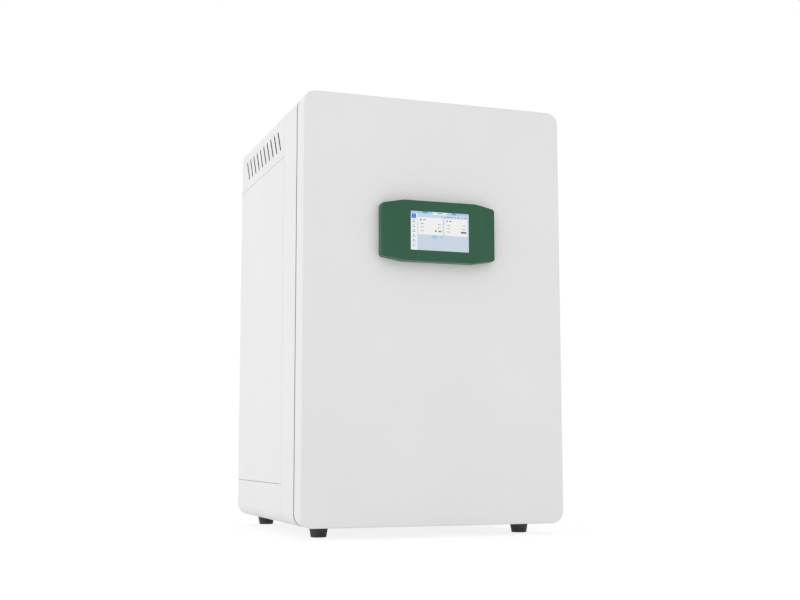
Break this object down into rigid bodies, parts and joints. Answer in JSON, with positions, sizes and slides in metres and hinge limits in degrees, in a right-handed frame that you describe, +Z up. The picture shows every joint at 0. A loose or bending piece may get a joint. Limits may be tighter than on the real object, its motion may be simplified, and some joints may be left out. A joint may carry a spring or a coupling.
{
  "type": "carbon dioxide incubator",
  "caption": "Floor or bench incubator with an insulated outer door, a faceted touch display, an inner glass door, a steel chamber with shelves and a humidity pan.",
  "frame": {"origin": "middle of the overall box on the floor, under the feet", "axes": "+X to the user's right, +Y from the door to the back, +Z up"},
  "size_m": [0.56, 0.619, 0.887],
  "materials": {
    "white_paint": "fine powder coat",
    "stainless": "satin",
    "zinc_steel": "zinc plated",
    "frame_plastic": "fine grain",
    "insulation": "fibrous board",
    "heater_mat": "silicone mat",
    "gasket_rubber": "matt",
    "magnet": "ground",
    "cast_alloy": "cast",
    "green_housing": "fine grain",
    "screen_glass": "polished",
    "circuit_board": "lacquered",
    "clear_glass": "polished",
    "black_rubber": "matt",
    "silicone": "translucent white",
    "dark_nylon": "moulded",
    "filter_medium": "pleated",
    "white_plastic": "moulded",
    "brass": "turned",
    "black_plastic": "moulded",
    "grey_case": "plain"
  },
  "bodies": {
    "cabinet": {"front_casing": "white_paint", "top_hood": "white_paint", "base_casing": "white_paint", "left_side_panel": "white_paint", "right_side_panel": "white_paint", "back_panel": "white_paint", "base_plate": "zinc_steel", "rubber_feet": "black_rubber", "foot_screws": "zinc_steel", "front_frame": "frame_plastic", "chamber_liner": "stainless", "left_insulation": "insulation", "right_insulation": "insulation", "floor_insulation": "insulation", "ceiling_insulation": "insulation", "rear_insulation": "insulation", "chamber_heaters": "heater_mat", "equipment_deck": "zinc_steel", "back_panel_screws": "zinc_steel", "inner_gasket": "silicone", "catch_magnet": "magnet", "door_hinge_brackets": "zinc_steel", "glass_hinge_bases": "stainless", "hinge_pins": "zinc_steel", "left_rack": "stainless", "right_rack": "stainless", "shaft_sleeve": "white_plastic", "fan_motor": "cast_alloy", "fan_shroud": "stainless", "air_duct": "stainless", "hepa_filter": "filter_medium", "co2_sensor": "cast_alloy", "temperature_probe": "stainless", "access_port": "white_plastic", "gas_inlet": "brass", "solenoid_valve": "brass", "gas_line": "silicone", "power_entry": "black_plastic", "control_board": "circuit_board", "power_supply": "grey_case"},
    "outer_door": {"door_shell": "white_paint", "door_inner_panel": "stainless", "door_insulation": "insulation", "door_heater": "heater_mat", "door_gasket": "gasket_rubber", "door_hinge_blocks": "cast_alloy", "display_housing": "green_housing", "display_screen": "screen_glass", "display_board": "circuit_board"},
    "glass_door": {"glass_pane": "clear_glass", "glass_hinge_leaves": "stainless", "glass_handle": "dark_nylon"},
    "shelf_1": {"shelf_1": "stainless"},
    "shelf_2": {"shelf_2": "stainless"},
    "shelf_3": {"shelf_3": "stainless"},
    "humidity_pan": {"humidity_pan": "stainless"},
    "fan": {"fan_shaft": "zinc_steel", "impeller": "dark_nylon"},
    "rocker": {"rocker": "black_plastic"},
    "port_plug": {"port_plug": "silicone"}
  },
  "joints": [
    {"name": "outer_door_hinge", "type": "hinge", "parent": "cabinet", "child": "outer_door", "pos_m": [0.269, -0.257, 0.4545], "axis": [0, 0, 1], "range_deg": [0, 110]},
    {"name": "glass_door_hinge", "type": "hinge", "parent": "cabinet", "child": "glass_door", "pos_m": [0.231, -0.237, 0.41], "axis": [0, 0, 1], "range_deg": [0, 102]},
    {"name": "shelf_1_slide", "type": "slide", "parent": "cabinet", "child": "shelf_1", "axis": [0, -1, 0], "range_m": [0, 0.12]},
    {"name": "shelf_2_slide", "type": "slide", "parent": "cabinet", "child": "shelf_2", "axis": [0, -1, 0], "range_m": [0, 0.12]},
    {"name": "shelf_3_slide", "type": "slide", "parent": "cabinet", "child": "shelf_3", "axis": [0, -1, 0], "range_m": [0, 0.12]},
    {"name": "pan_slide", "type": "slide", "parent": "cabinet", "child": "humidity_pan", "axis": [0, -1, 0], "range_m": [0, 0.12]},
    {"name": "fan_spin", "type": "hinge", "parent": "cabinet", "child": "fan", "pos_m": [0, 0.04, 0.74], "axis": [0, 0, 1], "continuous": true},
    {"name": "rocker_tilt", "type": "hinge", "parent": "cabinet", "child": "rocker", "pos_m": [-0.132, 0.28, 0.8335], "axis": [1, 0, 0], "range_deg": [0, 24]},
    {"name": "plug_pull", "type": "slide", "parent": "cabinet", "child": "port_plug", "axis": [0, 1, 0], "range_m": [0, 0.06]}
  ],
  "couplings": [
    {"joint": "glass_door_hinge", "follows": "outer_door_hinge", "ratio": 0.92},
    {"joint": "shelf_1_slide", "follows": "outer_door_hinge", "m_per_rad": 0.06},
    {"joint": "shelf_2_slide", "follows": "outer_door_hinge", "m_per_rad": 0.06},
    {"joint": "shelf_3_slide", "follows": "outer_door_hinge", "m_per_rad": 0.06},
    {"joint": "pan_slide", "follows": "outer_door_hinge", "m_per_rad": 0.06}
  ]
}
